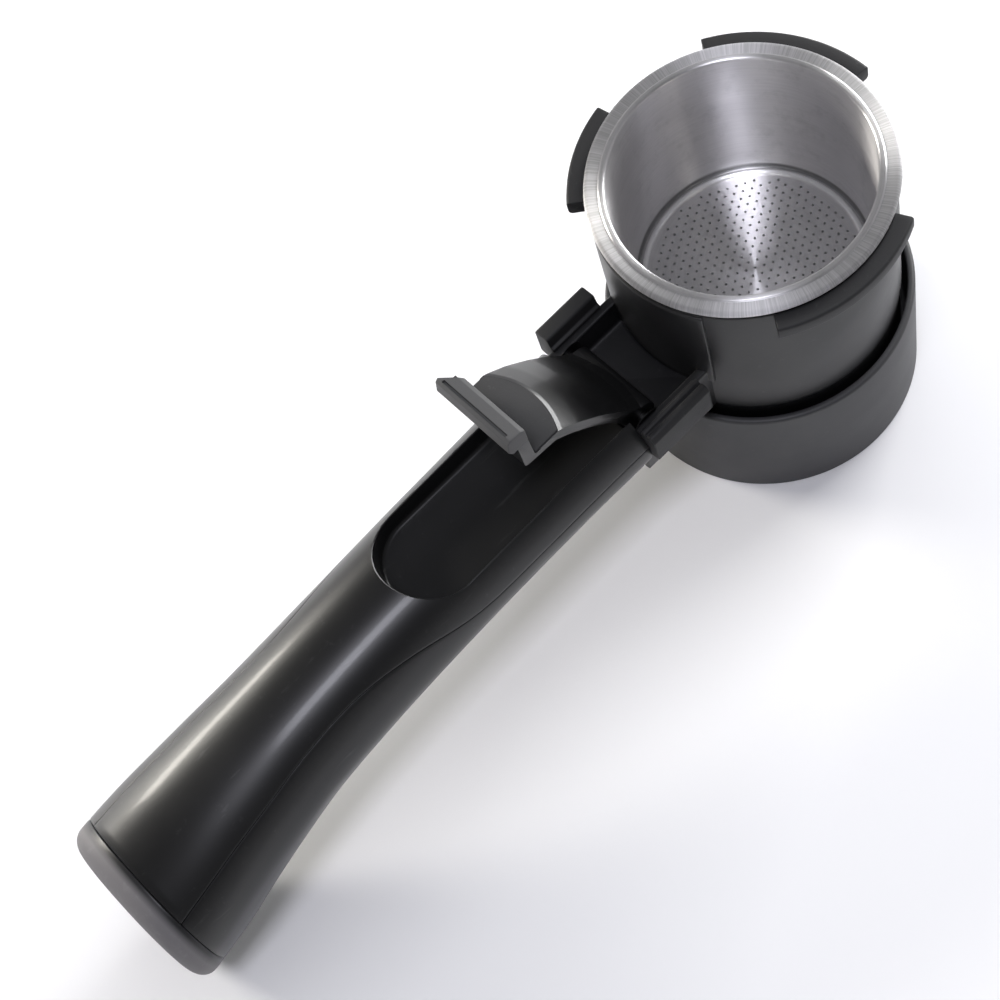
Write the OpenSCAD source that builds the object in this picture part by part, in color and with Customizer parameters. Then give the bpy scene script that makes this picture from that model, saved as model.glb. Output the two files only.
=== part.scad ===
// Portafilter, 51 mm class, moulded body with a hinged basket retainer in the neck.
// The cup axis is Z, the handle runs toward -Y, and z = 0 is the plane it rests on.

/* [Basket] */
// height of the basket's top face above the rest plane
rim_top = 75; // [72:0.5:76]
// outside radius of the rolled rim
rim_r = 30; // [29.5:0.1:30.2]
// radius of the mouth
mouth_r = 26.3; // [25.5:0.1:26.5]
// height of the inside floor
floor_z = 38; // [37:0.5:44]
// inside radius at the floor
floor_r = 24.6; // [23.5:0.1:25]
// sheet thickness
sheet = 0.8; // [0.6:0.1:1.0]
// length of the straight wall under the mouth, before it tapers to the floor
straight = 13; // [8:1:20]
// distance between neighbouring holes
hole_pitch = 2.6; // [2.4:0.1:4]
// diameter of one hole
hole_d = 0.8; // [0.6:0.1:1.2]

/* [Bowl] */
// outside radius of the bowl
bowl_r = 29.8; // [29.6:0.1:30]
// inside radius around the basket
bowl_in = 27.6; // [27.5:0.1:27.9]
// outside radius of the bayonet lugs
lug_r = 34.2; // [33:0.1:35]
// height of the lugs' top face
lug_top = 73.3; // [72.5:0.1:74]
// thickness of the lugs
lug_h = 3.8; // [3:0.1:5]

/* [Skirt] */
// outside radius of the skirt
skirt_r = 32.6; // [32.2:0.1:33.5]
// height of the skirt's top edge
skirt_h = 31.5; // [28:0.5:32]

/* [Neck and lever] */
// half width of the channel between the neck walls
channel_w = 12; // [12:0.1:12.2]
// height of the channel floor
channel_z = 42; // [41:0.5:42]
// width of the retainer lever
lever_w = 19.4; // [18:0.2:19.6]
// width of the thumb bar at the lever's end
bar_w = 20; // [19:0.2:20.4]

/* [Handle] */
// wall thickness of the two shells
wall = 2.4; // [2:0.1:2.6]
// half width of the thumb recess
recess_w = 11; // [10.8:0.1:11.2]
// height of the recess floor
recess_z = 46; // [45.5:0.1:46.2]

/* [Hidden] */
$fn = 96;
gap = 0.3;
shelf = 13;                       // underside of the bowl
ledge = 34;                       // ledge inside the bowl
well_r = 24.8;                    // inside radius below the ledge
seat = rim_top - 2.8 - gap;       // top edge of the bowl wall
lug_in = rim_r + 0.35;
pivot = [0, -42, 46.5];           // lever axis, parallel to X
pin_r = 1.5;
neck_end = -46;
recess_end = -102;
screw_ang = [30, 150, 270];       // skirt screws
tang_y = [-58, -80];              // tang screws
cover_y = [-122, -150];           // cover screws
black = [0.09, 0.09, 0.1];
soft = [0.17, 0.17, 0.18];
steel = [0.74, 0.74, 0.73];
zinc = [0.6, 0.61, 0.62];
seal = [0.35, 0.15, 0.12];

// handle sections: [distance, half width, top, widest line, bottom, inset]
H = [
  [46, 15.9, 55.4, 44.6, 33, 0], [60, 15.6, 55.6, 43.9, 32.8, 0], [76, 15.4, 55.6, 43, 31.8, 0],
  [92, 15.3, 55.4, 41.9, 30, 0], [108, 15.3, 54.4, 40.4, 27.6, 0], [122, 15.5, 53, 38.9, 24.6, 0],
  [136, 15.9, 51.2, 37.2, 19.8, 0], [148, 16.9, 49.2, 35, 13.4, 0], [158, 17.8, 47.2, 32.9, 7, 0],
  [166, 18.7, 45.2, 30.8, 2.2, 0], [175.5, 19.5, 42.4, 27.9, 0, 0],
  // the last rows round off the butt cap
  [178, 19.7, 41.6, 27, 0, 0.3], [179.8, 19.8, 41, 26.4, 0, 1.1], [181, 19.8, 40.6, 26, 0, 2.4],
  [181.6, 19.8, 40.4, 25.8, 0, 4.2]];
// angle of the cover's edge above the widest line, at each section
E = [12, 12, 12, 16, 36, 47, 47.5, 46, 45.5, 45.5, 45.5];
seam_row = 10;
last_row = 14;

// one point of a handle section, inset by w; the underside narrows toward a keel
function hp(i, t, w0) = let (s = H[i], w = w0 + s[5], c = cos(t), n = sin(t),
    up = s[2] - s[3] - w, dn = s[3] - s[4] - w,
    k = n > 0 ? 0.92 : 1 + 0.17 * min(1, (s[0] - 46) / 110))
  [(s[1] - w) * sign(c) * pow(abs(c), k), -s[0], s[3] + (n > 0 ? up * n : -dn * pow(-n, k))];
function quad(a, b, c, d) = [[a, b, c], [a, c, d]];

// a strip of shell between section angles t0 and t1
module strip(from, to, t0, t1, w0, w1, n) {
  m = to - from + 1;
  r = 2 * (n + 1);
  pts = [for (i = [from : to]) for (w = [w0, w1]) for (j = [0 : n])
    hp(i, t0[i] + (t1[i] - t0[i]) * j / n, w)];
  o = function (i, j) i * r + j;
  k = function (i, j) i * r + n + 1 + j;
  fs = [
    for (i = [0 : m - 2]) for (j = [0 : n - 1]) for (f = concat(
      quad(o(i, j), o(i + 1, j), o(i + 1, j + 1), o(i, j + 1)),
      quad(k(i, j), k(i, j + 1), k(i + 1, j + 1), k(i + 1, j)))) f,
    for (i = [0 : m - 2]) for (f = concat(
      quad(o(i + 1, 0), o(i, 0), k(i, 0), k(i + 1, 0)),
      quad(o(i, n), o(i + 1, n), k(i + 1, n), k(i, n)))) f,
    for (j = [0 : n - 1]) for (f = concat(
      quad(o(0, j), o(0, j + 1), k(0, j + 1), k(0, j)),
      quad(o(m - 1, j + 1), o(m - 1, j), k(m - 1, j), k(m - 1, j + 1)))) f];
  polyhedron(pts, fs);
}

// the handle's outer form as a solid, inset by w, between two sections
module core(from, to, w, n = 40) {
  m = to - from + 1;
  pts = [for (i = [from : to]) for (j = [0 : n - 1]) hp(i, 360 * j / n, w)];
  fs = [
    for (i = [0 : m - 2]) for (j = [0 : n - 1]) let (j2 = (j + 1) % n)
      for (f = quad(i * n + j, (i + 1) * n + j, (i + 1) * n + j2, i * n + j2)) f,
    [for (j = [0 : n - 1]) j],
    [for (j = [n - 1 : -1 : 0]) (m - 1) * n + j]];
  polyhedron(pts, fs);
}

module tube(ro, ri, z0, z1) translate([0, 0, z0]) difference() {
  cylinder(r = ro, h = z1 - z0);
  translate([0, 0, -1]) cylinder(r = ri, h = z1 - z0 + 2);
}
module sector(a0, a1, ri, ro, z0, z1) translate([0, 0, z0]) rotate([0, 0, a0])
  rotate_extrude(angle = a1 - a0) translate([ri, 0]) square([ro - ri, z1 - z0]);
module along_x(x0, x1, r) translate([x0, 0, 0]) rotate([0, 90, 0]) cylinder(r = r, h = x1 - x0);
module profile_x(x0, x1) translate([x0, 0, 0]) rotate([90, 0, 90]) linear_extrude(x1 - x0) children();

// pan-head screw, head down at z = 0, shank up
module screw(head_r, head_h, shank_r, length) {
  difference() {
    cylinder(r = head_r, h = head_h);
    for (a = [0, 90]) rotate([0, 0, a]) translate([-head_r * 0.6, -0.4, -1]) cube([head_r * 1.2, 0.8, 1.9]);
  }
  translate([0, 0, head_h]) cylinder(r = shank_r, h = length);
  translate([0, 0, head_h + length]) cylinder(r1 = shank_r, r2 = shank_r * 0.5, h = 0.8);
}

module filter_holder() color(black) difference() {
  union() {
    // bowl, stepped in where the skirt surrounds it, with a ledge inside for the seal
    rotate_extrude() polygon([[0, shelf], [bowl_r - 0.4, shelf], [bowl_r - 0.4, ledge], [bowl_r, ledge],
      [bowl_r, seat], [bowl_in, seat], [bowl_in, ledge], [well_r, ledge], [well_r, shelf + 3], [0, shelf + 3]]);
    // raised front above the neck, bayonet lugs
    sector(241, 299, bowl_in + 1, bowl_r + 0.6, channel_z + 4, seat - 0.6);
    for (s = [[87, 147], [190, 229], [-35, 25]])
      rotate([0, 0, s[0]]) rotate_extrude(angle = s[1] - s[0])
        polygon([[bowl_in + 1, lug_top - lug_h], [lug_r, lug_top - lug_h], [lug_r, lug_top], [lug_in, lug_top],
          [lug_in, seat - 0.2], [bowl_in + 1, seat - 0.2]]);
    // bosses: outlet screw and skirt screws
    translate([0, 0, shelf + 1]) cylinder(r = 4.5, h = 9);
    for (a = screw_ang) rotate([0, 0, a]) translate([21, 0, shelf + 1]) cylinder(r = 3.2, h = 9);
    // neck: beam, two walls, two rounded rails
    translate([-13.6, neck_end, 33]) cube([27.2, 21, channel_z - 33]);
    for (s = [-1, 1]) scale([s, 1, 1]) {
      translate([channel_w - 0.6, neck_end, 33]) cube([2.2, 21, 16]);
      translate([channel_w + 0.4, neck_end, 44]) cube([5.6, 15.4, 5.9]);
      translate([channel_w + 3.2, neck_end, 49.9]) rotate([-90, 0, 0]) cylinder(r = 2.8, h = 15.4);
    }
    // tongue inside the handle
    translate([-6, -90, 37]) cube([12, 46, 5]);
  }
  // coffee outlets and screw bores
  for (x = [-9, 9]) translate([x, 0, 0]) cylinder(r = 2.6, h = 20);
  translate([0, 0, shelf - 1]) cylinder(r = 2, h = 9.5);
  for (a = screw_ang) rotate([0, 0, a]) translate([21, 0, shelf - 1]) cylinder(r = 1.5, h = 9.5);
  // inside of the bowl stays clear where the neck joins it
  translate([0, 0, ledge]) cylinder(r = bowl_in, h = 60);
  translate([0, 0, 24]) cylinder(r = well_r, h = 12);
  // pivot bore: open on the left, blind on the right
  translate(pivot) along_x(-20, 15.5, pin_r + 0.05);
  for (y = tang_y) translate([0, y, 30]) cylinder(r = 2.5, h = 11.7);
}

module filter_basket() color(steel) difference() {
  rotate_extrude() polygon([[0, floor_z - sheet], [floor_r - 0.8, floor_z - sheet], [floor_r + 0.3, floor_z - 0.4],
    [floor_r + sheet, floor_z + 1], [mouth_r + sheet, rim_top - 1.2 - straight], [mouth_r + sheet, seat + gap],
    [rim_r - 0.1, seat + gap],
    [rim_r, seat + gap + 0.3], [rim_r, rim_top - 0.9], [rim_r - 0.4, rim_top - 0.3], [rim_r - 1.1, rim_top],
    [mouth_r + 1.1, rim_top], [mouth_r + 0.35, rim_top - 0.35], [mouth_r, rim_top - 1.2],
    [mouth_r, rim_top - 1.2 - straight], [floor_r, floor_z + 1.1], [floor_r - 0.5, floor_z + 0.35], [floor_r - 1.4, floor_z], [0, floor_z]]);
  for (i = [-12 : 12]) for (j = [-12 : 12])
    let (x = (i + j / 2) * hole_pitch, y = j * hole_pitch * 0.866)
      if (norm([x, y]) < floor_r - 2.6)
        translate([x, y, floor_z - 2]) cylinder(r = hole_d / 2, h = 4, $fn = 16);
}

// ring on the ledge inside the bowl, under the basket
module basket_seal() color(seal) tube(bowl_in - 0.05, bowl_in - 2.6, ledge, 36.9);

module skirt() color(black) difference() {
  union() {
    tube(skirt_r, skirt_r - 1.6, 0, skirt_h);
    tube(skirt_r - 1.6, 16, shelf - 2.5, shelf);
    for (a = [0 : 60 : 300]) rotate([0, 0, a + 30]) translate([skirt_r - 3.4, -0.6, 4]) cube([2.2, 1.2, shelf - 5]);
  }
  for (a = screw_ang) rotate([0, 0, a]) translate([21, 0, 0]) cylinder(r = 1.6, h = shelf + 1);
}
module skirt_screws() color(zinc) for (a = screw_ang) rotate([0, 0, a])
  translate([21, 0, shelf - 2.5 - 2]) screw(2.9, 2, 1.45, 9.5);

module outlet_spout() color(black) difference() {
  union() {
    translate([0, 0, 9.6]) cylinder(r = 15, h = 2.4);
    for (s = [-1, 1]) translate([9 * s, 0, 2]) {
      cylinder(r = 4.4, h = 7.6);
      translate([0, 0, 5.6]) cylinder(r1 = 4.4, r2 = 5.6, h = 2);
    }
    translate([-9, -1.2, 5]) cube([18, 2.4, 4.6]);
    translate([0, 0, 5]) cylinder(r = 5.2, h = 4.6);
  }
  for (x = [-9, 9]) translate([x, 0, 0]) cylinder(r = 2.6, h = 20);
  cylinder(r = 2.1, h = 20);
  translate([0, 0, 1]) cylinder(r = 4.1, h = 5.6);
}
module outlet_gasket() color(seal) difference() {
  translate([0, 0, 12]) cylinder(r = 14.4, h = 1);
  for (x = [-9, 9]) translate([x, 0, 0]) cylinder(r = 2.6, h = 20);
  cylinder(r = 2.1, h = 20);
}
module outlet_washer() color(zinc) tube(3.8, 2.1, 5.8, 6.6);
module outlet_screw() color(zinc) translate([0, 0, 3.4]) screw(3.5, 2.4, 1.95, 14);

// slotted plate lying over the bowl's floor
module diffuser_disc() color(steel) difference() {
  translate([0, 0, 23]) cylinder(r = 24.4, h = 0.8);
  for (a = [0 : 30 : 330]) rotate([0, 0, a]) {
    translate([10, 0, 22]) cylinder(r = 1, h = 3);
    translate([16, 0, 22]) cylinder(r = 1.2, h = 3);
  }
}

module retainer_lever() color(black) difference() {
  union() {
    translate(pivot) along_x(-11.1, 11.1, 3.6);
    // plate, pad shelf and riser, then the thumb bar
    profile_x(-lever_w / 2, lever_w / 2) polygon([[-40.4, 47.9], [-60.5, 70.4], [-66.6, 70.4],
      [-66.8, 77.4], [-69.4, 77.4], [-69.4, 68.8], [-61.3, 68.8], [-44, 48.6], [-43.2, 45.2], [-40.4, 45.4]]);
    profile_x(-bar_w / 2, bar_w / 2) polygon([[-66.7, 77.2], [-66.7, 81], [-67.3, 81.6], [-70.4, 82],
      [-71, 81.4], [-71.5, 78.2], [-70.8, 76.8]]);
    for (s = [-1, 1]) scale([s, 1, 1]) profile_x(lever_w / 2 - 1.8, lever_w / 2)
      polygon([[-44, 50], [-61, 69.8], [-67.2, 69.8], [-68.8, 68.8], [-64, 66.2], [-60, 64.4], [-46.5, 50.2]]);
  }
  translate(pivot) along_x(-20, 20, pin_r + 0.05);
  // groove along the thumb bar
  profile_x(-bar_w / 2 + 1.5, bar_w / 2 - 1.5) polygon([[-70.2, 81.1], [-70.2, 83], [-69.6, 83], [-69.6, 81.1]]);
  // dished top face of the plate
  translate([0, -26.7, 80.3]) rotate([41.8, 0, 0]) translate([0, 0, -10]) cylinder(r = 33, h = 23.5);
}

// matt pad bonded to the shelf, its front edge an arc
module lever_pad() color(soft) translate([0, 0, 70.4]) linear_extrude(0.6) intersection() {
  translate([-lever_w / 2 + 0.2, -66.4]) square([lever_w - 0.4, 9]);
  translate([0, -81.4]) circle(r = 21.6);
}
module lever_pin() color(zinc) translate(pivot) along_x(-17.6, 15.3, pin_r);
module pin_washers() color(zinc) for (s = [-1, 1]) scale([s, 1, 1]) translate(pivot) difference() {
  along_x(11.15, 11.38, 3.4);
  along_x(11, 12, pin_r + 0.06);
}

module post(x, y, z0, z1, r) translate([x, y, z0]) cylinder(r = r, h = z1 - z0);

module handle_lower() color(black) difference() {
  union() {
    strip(0, seam_row, [for (e = E) 180 - e], [for (e = E) 360 + e], 0, wall, 36);
    intersection() {
      union() {
        for (y = tang_y) post(0, y, 30, 37, 5);
        for (y = cover_y) post(0, y, 12, 38, 4);
        for (s = [-1, 1]) post(s * 10.5, -96, 26, 44, 2.6);
      }
      core(0, seam_row, 0.6);
    }
  }
  for (y = tang_y) {
    post(0, y, 20, 34.3, 3);
    post(0, y, 20, 40, 1.6);
  }
  for (y = cover_y) {
    post(0, y, 0, (y > -130 ? 29 : 20), 3);
    post(0, y, 0, 50, 1.6);
  }
}

module handle_upper() color(black) difference() {
  union() {
    strip(0, seam_row, E, [for (e = E) 180 - e], 0, wall, 20);
    // basin under the thumb recess, kept clear of the lower shell, and screw bosses
    difference() {
      intersection() {
        union() {
          translate([0, 0, recess_z - 2]) linear_extrude(20) stadium(recess_w + 1.8, neck_end, recess_end - 1.8);
          for (y = cover_y) post(0, y, 38, 60, 3.6);
        }
        core(0, seam_row, 0.4);
      }
      strip(0, seam_row, [for (e = E) 178.5 - e], [for (e = E) 361.5 + e], -1, wall + 0.15, 36);
    }
  }
  translate([0, 0, recess_z]) linear_extrude(30) stadium(recess_w, neck_end + 2, recess_end);
  for (y = cover_y) post(0, y, 20, (y > -130 ? 48 : 44), 1.5);
}
module stadium(w, y0, y1) {
  translate([-w, y1 + w]) square([2 * w, y0 - y1 - w]);
  translate([0, y1 + w]) circle(r = w);
}

module butt_cap() color(soft) difference() {
  union() {
    core(seam_row, last_row, 0);
    // spigot that fits inside the shells
    intersection() {
      core(seam_row - 1, seam_row, wall + 0.15);
      translate([-40, -176, -1]) cube([80, 7, 80]);
    }
  }
  intersection() {
    core(seam_row - 1, last_row - 2, wall + 2);
    translate([-40, -178.6, -1]) cube([80, 20, 80]);
  }
}

module tang_screws() color(zinc) for (y = tang_y) translate([0, y, 32.5]) screw(2.7, 1.8, 1.45, 6.4);
module tang_inserts() color([0.8, 0.65, 0.3]) for (y = tang_y) translate([0, y, 0]) tube(2.48, 1.48, 37.1, 41.6);
module cover_screws() color(zinc) for (y = cover_y)
  translate([0, y, (y > -130 ? 29 : 20) - 2]) screw(2.7, 2, 1.45, (y > -130 ? 17 : 22));

filter_holder();
filter_basket();
basket_seal();
skirt();
skirt_screws();
outlet_spout();
outlet_gasket();
outlet_washer();
outlet_screw();
diffuser_disc();
retainer_lever();
lever_pad();
lever_pin();
pin_washers();
handle_lower();
handle_upper();
butt_cap();
tang_screws();
tang_inserts();
cover_screws();
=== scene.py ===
# Portafilter: basket, bowl with bayonet lugs, skirt, hinged thumb lever and a two-part handle.
import math
import bpy
from mathutils import Matrix, Vector


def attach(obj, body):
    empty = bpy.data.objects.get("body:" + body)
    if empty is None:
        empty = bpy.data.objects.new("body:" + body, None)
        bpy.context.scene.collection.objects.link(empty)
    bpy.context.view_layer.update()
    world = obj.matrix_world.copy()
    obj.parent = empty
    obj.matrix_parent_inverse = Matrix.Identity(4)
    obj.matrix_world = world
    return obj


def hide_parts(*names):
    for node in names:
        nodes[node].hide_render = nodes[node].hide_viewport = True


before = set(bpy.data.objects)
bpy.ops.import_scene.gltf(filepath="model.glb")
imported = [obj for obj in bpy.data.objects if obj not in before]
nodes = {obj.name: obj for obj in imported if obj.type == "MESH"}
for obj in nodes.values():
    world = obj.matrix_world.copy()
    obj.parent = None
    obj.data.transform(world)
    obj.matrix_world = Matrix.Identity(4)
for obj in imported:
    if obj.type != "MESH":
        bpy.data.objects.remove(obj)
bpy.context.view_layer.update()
mm = 0.001
print("frame loaded:", len(nodes), "nodes")


# small hand tools, in millimetres

def clearSelection():
    if bpy.context.object and bpy.context.object.mode != 'OBJECT':
        bpy.ops.object.mode_set(mode='OBJECT')
    bpy.ops.object.select_all(action='DESELECT')


def pick(piece):
    clearSelection()
    piece.select_set(True)
    bpy.context.view_layer.objects.active = piece


def named(name):
    piece = bpy.context.object
    piece.name = name
    piece.data.name = name
    bpy.ops.object.transform_apply(location=True, rotation=True, scale=True)
    return piece


def edit(piece, select='DESELECT'):
    pick(piece)
    bpy.ops.object.mode_set(mode='EDIT')
    bpy.ops.mesh.select_all(action=select)


def closeUp(piece):
    # merges doubles and turns every face outwards
    edit(piece, 'SELECT')
    bpy.ops.mesh.remove_doubles(threshold=0.002 * mm)
    bpy.ops.mesh.normals_make_consistent(inside=False)
    bpy.ops.object.mode_set(mode='OBJECT')
    return piece


def addModifier(piece, kind, **settings):
    pick(piece)
    modifier = piece.modifiers.new(kind.lower(), kind)
    for key, value in settings.items():
        setattr(modifier, key, value)
    bpy.ops.object.modifier_apply(modifier=modifier.name)
    return piece


def roundEdges(piece, width, angle=35, segments=3):
    return addModifier(piece, 'BEVEL', width=width * mm, segments=segments, limit_method='ANGLE',
                       angle_limit=math.radians(angle), harden_normals=False)


def cut(piece, *tools):
    for tool in tools:
        addModifier(piece, 'BOOLEAN', operation='DIFFERENCE', object=tool, solver='EXACT')
        bpy.data.objects.remove(tool)
    return piece


def weld(piece, *others):
    for other in others:
        addModifier(piece, 'BOOLEAN', operation='UNION', object=other, solver='EXACT')
        bpy.data.objects.remove(other)
    return piece


def smooth(piece, angle=32):
    pick(piece)
    bpy.ops.object.shade_smooth_by_angle(angle=math.radians(angle))
    return piece


def fit(piece, body, slot, finish, *replaced):
    smooth(piece)
    piece.data.materials.clear()
    piece.data.materials.append(finish)
    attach(piece, body)
    if replaced:
        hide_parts(*replaced)
    return piece


def roundCorners(outline, steps=4):
    # outline: (across, up, corner radius); closed
    points = []
    count = len(outline)
    for index, (across, up, radius) in enumerate(outline):
        corner = Vector((across, up))
        if not radius:
            points.append(corner)
            continue
        before = (Vector(outline[index - 1][:2]) - corner).normalized()
        after = (Vector(outline[(index + 1) % count][:2]) - corner).normalized()
        half = before.angle(after) / 2
        centre = corner + (before + after).normalized() * radius / math.sin(half)
        first = corner + before * radius / math.tan(half) - centre
        last = corner + after * radius / math.tan(half) - centre
        turn = first.angle_signed(last)
        for step in range(steps + 1):
            spoke = first.copy()
            spoke.rotate(Matrix.Rotation(-turn * step / steps, 2))
            points.append(centre + spoke)
    return points


def drawLine(name, points, place):
    # a chain of edges, drawn by extruding one vertex from point to point
    clearSelection()
    spots = [place(p) * mm for p in points]
    bpy.ops.mesh.primitive_plane_add(size=mm, location=spots[0])
    piece = named(name)
    edit(piece, 'SELECT')
    bpy.ops.mesh.merge(type='CENTER')
    for here, there in zip(spots, spots[1:]):
        bpy.ops.mesh.extrude_region_move(TRANSFORM_OT_translate={"value": there - here})
    bpy.ops.mesh.select_all(action='SELECT')
    bpy.ops.mesh.remove_doubles(threshold=0.0005 * mm)
    bpy.ops.object.mode_set(mode='OBJECT')
    return piece


def turned(name, outline, steps=128, cornerSteps=4):
    # a full turn round the cup's axis; outline: (radius, height, corner radius), open where it meets the axis
    points = roundCorners(outline, cornerSteps)
    if outline[0][0] or outline[-1][0]:
        points = points + points[:1]
    piece = drawLine(name, points, lambda p: Vector((p[0], 0, p[1])))
    edit(piece, 'SELECT')
    bpy.ops.mesh.spin(steps=steps, angle=math.tau, center=(0, 0, 0), axis=(0, 0, 1))
    bpy.ops.object.mode_set(mode='OBJECT')
    return closeUp(piece)


def turnedPart(name, outline, start, end, steps=28, cornerSteps=4):
    # a sector from angle start to end, with flat ends
    points = roundCorners(outline, cornerSteps)
    turn = Matrix.Rotation(math.radians(start), 3, 'Z')
    piece = drawLine(name, points + points[:1], lambda p: turn @ Vector((p[0], 0, p[1])))
    edit(piece, 'SELECT')
    bpy.ops.mesh.edge_face_add()
    bpy.ops.mesh.spin(steps=steps, angle=-math.radians(end - start), center=(0, 0, 0), axis=(0, 0, 1))
    bpy.ops.object.mode_set(mode='OBJECT')
    return closeUp(piece)


def barAlong(name, outline, axis, start, end, steps=4):
    # a prism: outline drawn across the axis, extruded from start to end
    points = roundCorners(outline, steps)
    place = {'X': lambda p: Vector((start, p[0], p[1])), 'Y': lambda p: Vector((p[0], start, p[1])),
             'Z': lambda p: Vector((p[0], p[1], start))}[axis]
    piece = drawLine(name, points + points[:1], place)
    step = [0, 0, 0]
    step['XYZ'.index(axis)] = (end - start) * mm
    edit(piece, 'SELECT')
    bpy.ops.mesh.edge_face_add()
    bpy.ops.mesh.extrude_region_move(TRANSFORM_OT_translate={"value": step})
    bpy.ops.object.mode_set(mode='OBJECT')
    return closeUp(piece)


def rod(name, radius, start, end, sides=48, axis='Z', chamfer=0.0):
    # a round bar between two points, its end edges bevelled
    start, end = Vector(start), Vector(end)
    turn = {'Z': (0, 0, 0), 'X': (0, math.pi / 2, 0), 'Y': (math.pi / 2, 0, 0)}[axis]
    clearSelection()
    bpy.ops.mesh.primitive_cylinder_add(vertices=sides, radius=radius * mm, depth=(end - start).length * mm,
                                        location=(start + end) / 2 * mm, rotation=turn)
    piece = named(name)
    if chamfer:
        roundEdges(piece, chamfer, 60, 2)
    return piece


def shapedGrid(name, around, along, place, close=True):
    # a grid wrapped into a form: place(u, v) gives the point in mm for u round the form and v along it
    clearSelection()
    bpy.ops.mesh.primitive_grid_add(x_subdivisions=around, y_subdivisions=along, size=1)
    piece = named(name)
    for vertex in piece.data.vertices:
        vertex.co = Vector(place(vertex.co.x + 0.5, vertex.co.y + 0.5)) * mm
    if close:
        edit(piece, 'SELECT')
        bpy.ops.mesh.remove_doubles(threshold=0.002 * mm)
        bpy.ops.mesh.fill_holes(sides=0)
        bpy.ops.object.mode_set(mode='OBJECT')
        closeUp(piece)
    return piece


# camera and soft light

view = {"place": (166.61, -134.31, 413.53), "right": (0.68147, 0.70645, -0.19111),
        "forward": (-0.40703, 0.14885, -0.90121), "lens": 73.76, "film": 36, "nearest": 10}
lamps = {
    # power in watts; up turns the panel about its own aim; mirrored says whether it shows in reflections
    "overheadCool": {"place": (440, -440, 2170), "aim": (0, -55, 50), "up": (0, 1, 0), "size": (400, 600),
                     "power": 17, "tint": (0.90, 0.90, 1), "mirrored": True},
    "sideWarm": {"place": (-740, -366, 360), "aim": (0, -120, 45), "up": (0, 0, 1), "size": (280, 120),
                 "power": 4.6, "tint": (1, 0.96, 0.88), "mirrored": True},
    "sideLow": {"place": (-780, -366, 150), "aim": (0, -120, 45), "up": (0, 0, 1), "size": (420, 260),
                "power": 0.9, "tint": (1, 0.98, 0.94), "mirrored": True},
    "backFill": {"place": (-120, 840, 350), "aim": (0, -40, 50), "up": (0, 0, 1), "size": (620, 320),
                 "power": 10, "tint": (1, 1, 1), "mirrored": True},
    "skyFill": {"place": (-260, 200, 950), "aim": (0, -60, 0), "up": (0, 1, 0), "size": (700, 700),
                "power": 3.2, "tint": (0.97, 0.98, 1), "mirrored": False},
}
floorLook = {"size": 6000, "drop": 0.02, "colour": (0.93, 0.93, 0.94), "roughness": 0.6,
             "room": (0.82, 0.82, 0.84), "horizon": 0.75, "zenith": 0.11, "zenithFrom": 0.5}


def placeCamera():
    right = Vector(view["right"]).normalized()
    forward = Vector(view["forward"]).normalized()
    up = right.cross(forward)
    bpy.ops.object.camera_add()
    camera = bpy.context.object
    camera.matrix_world = Matrix.Translation(Vector(view["place"]) * mm) @ Matrix(
        (right, up, -forward)).transposed().to_4x4()
    camera.data.lens = view["lens"]
    camera.data.sensor_width = view["film"]
    camera.data.clip_start = view["nearest"] * mm
    bpy.context.scene.camera = camera


def placeLights():
    for name, lamp in lamps.items():
        place = Vector(lamp["place"]) * mm
        bpy.ops.object.light_add(type='AREA', location=place)
        light = bpy.context.object
        light.name = name
        back = (place - Vector(lamp["aim"]) * mm).normalized()
        right = Vector(lamp["up"]).cross(back).normalized()
        light.rotation_euler = Matrix((right, back.cross(right), back)).transposed().to_euler()
        light.visible_glossy = lamp["mirrored"]
        light.data.shape = 'RECTANGLE'
        light.data.size = lamp["size"][0] * mm
        light.data.size_y = lamp["size"][1] * mm
        light.data.energy = lamp["power"]
        light.data.color = lamp["tint"]


def layFloor():
    bpy.ops.mesh.primitive_plane_add(size=floorLook["size"] * mm, location=(0, 0, -floorLook["drop"] * mm))
    floor = bpy.context.object
    floor.name = "floor"
    paper = bpy.data.materials.new("paleFloor")
    paper.use_nodes = True
    shader = paper.node_tree.nodes["Principled BSDF"]
    shader.inputs["Base Color"].default_value = (*floorLook["colour"], 1)
    shader.inputs["Roughness"].default_value = floorLook["roughness"]
    floor.data.materials.append(paper)
    world = bpy.data.worlds.new("paleRoom")
    bpy.context.scene.world = world
    world.use_nodes = True
    sky = world.node_tree.nodes["Background"]
    sky.inputs["Color"].default_value = (*floorLook["room"], 1)
    # brighter walls low down, a dim ceiling above
    direction = world.node_tree.nodes.new("ShaderNodeTexCoord")
    split = world.node_tree.nodes.new("ShaderNodeSeparateXYZ")
    fade = world.node_tree.nodes.new("ShaderNodeMapRange")
    fade.inputs["From Max"].default_value = floorLook["zenithFrom"]
    fade.inputs["To Min"].default_value = floorLook["horizon"]
    fade.inputs["To Max"].default_value = floorLook["zenith"]
    world.node_tree.links.new(direction.outputs["Generated"], split.inputs["Vector"])
    world.node_tree.links.new(split.outputs["Z"], fade.inputs["Value"])
    world.node_tree.links.new(fade.outputs["Result"], sky.inputs["Strength"])
    bpy.context.scene.view_settings.view_transform = 'Standard'


clearSelection()
placeCamera()
placeLights()
layFloor()
print("camera, lights and floor placed")


# finishes

def startFinish(name, colour, roughness, metallic=0.0, coat=0.0):
    material = bpy.data.materials.new(name)
    material.use_nodes = True
    tree = material.node_tree
    shader = tree.nodes["Principled BSDF"]
    shader.inputs["Base Color"].default_value = (*colour, 1)
    shader.inputs["Roughness"].default_value = roughness
    shader.inputs["Metallic"].default_value = metallic
    shader.inputs["Coat Weight"].default_value = coat
    return material, tree, shader


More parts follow.
